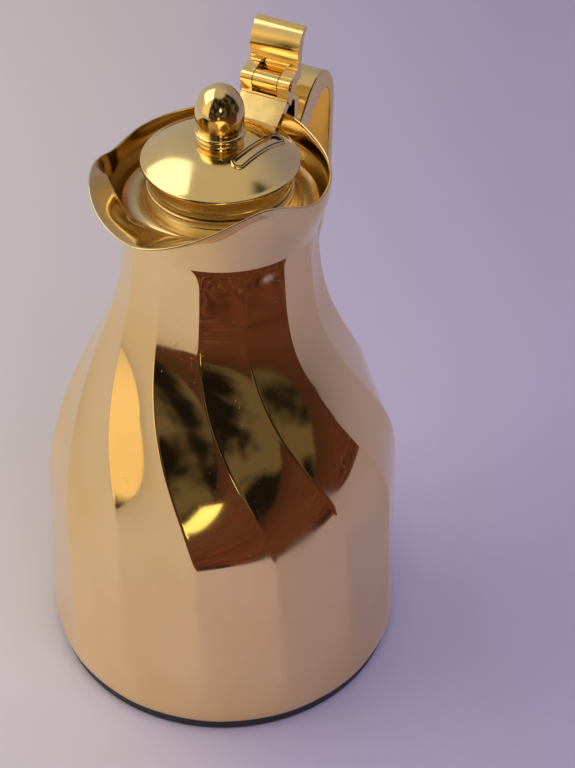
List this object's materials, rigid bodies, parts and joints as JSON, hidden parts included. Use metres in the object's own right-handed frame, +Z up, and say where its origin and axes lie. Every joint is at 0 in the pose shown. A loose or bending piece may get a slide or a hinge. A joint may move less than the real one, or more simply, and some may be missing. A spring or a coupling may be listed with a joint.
{
  "type": "dallah coffee pot",
  "caption": "Gold-plated vacuum dallah jug with spiral facets, spouted collar, hinged lid with thumb lever, ball knob, strap handle and black foot ring.",
  "frame": {"origin": "centre of the foot ring's rest face", "axes": "+Z up along the body's axis, +X towards the handle and the hinge, -X towards the spout, +Y along the hinge pin"},
  "size_m": [0.1578, 0.151, 0.269],
  "materials": {
    "gold_body": "mirror-polished gold plate on drawn brass, fine rub marks and dust",
    "gold_collar": "mirror-polished gold plate, small pits and polishing marks",
    "gold_inner": "polished gold plate, slightly duller inside the mouth",
    "gold_cast": "gold plate on polished cast brass, soft edges, casting pits",
    "gold_lid": "gold plate on turned brass, faint turning and rub marks",
    "black_plastic": "moulded, satin",
    "black_rubber": "matt",
    "grey_rubber": "matt",
    "silvered_glass": "silvered on the vacuum side",
    "zinc_steel": "zinc plated",
    "cream_plastic": "moulded, glossy",
    "white_foam": "rigid foam",
    "clear_silicone": "satin, translucent white"
  },
  "bodies": {
    "jug": {"body_shell": "gold_body", "collar": "gold_collar", "pouring_ring": "gold_inner", "neck_gasket": "black_rubber", "liner_outer": "silvered_glass", "liner_inner": "silvered_glass", "liner_cushion": "black_rubber", "base_ring": "black_plastic", "plug_seal": "grey_rubber", "handle": "gold_cast", "handle_screws": "zinc_steel", "handle_washers": "zinc_steel", "hinge_bracket": "gold_cast", "bracket_screws": "zinc_steel"},
    "lid": {"hinge_pin": "gold_cast", "lid_arm": "gold_cast", "lid_disc": "gold_lid", "lid_ring": "gold_inner", "stopper_body": "cream_plastic", "stopper_foam": "white_foam", "stopper_seal": "clear_silicone", "knob": "gold_lid", "knob_ring": "gold_lid", "knob_stud": "zinc_steel", "stud_nut": "zinc_steel", "label_plate": "gold_lid"},
    "plug": {"base_plug": "black_plastic"}
  },
  "joints": [
    {"name": "lid_hinge", "type": "hinge", "parent": "jug", "child": "lid", "pos_m": [0.039, 0, 0.249], "axis": [0, 1, 0], "range_deg": [0, 78]},
    {"name": "base_plug_turn", "type": "hinge", "parent": "jug", "child": "plug", "pos_m": [0, 0, 0], "axis": [0, 0, 1], "range_deg": [0, 60]}
  ]
}
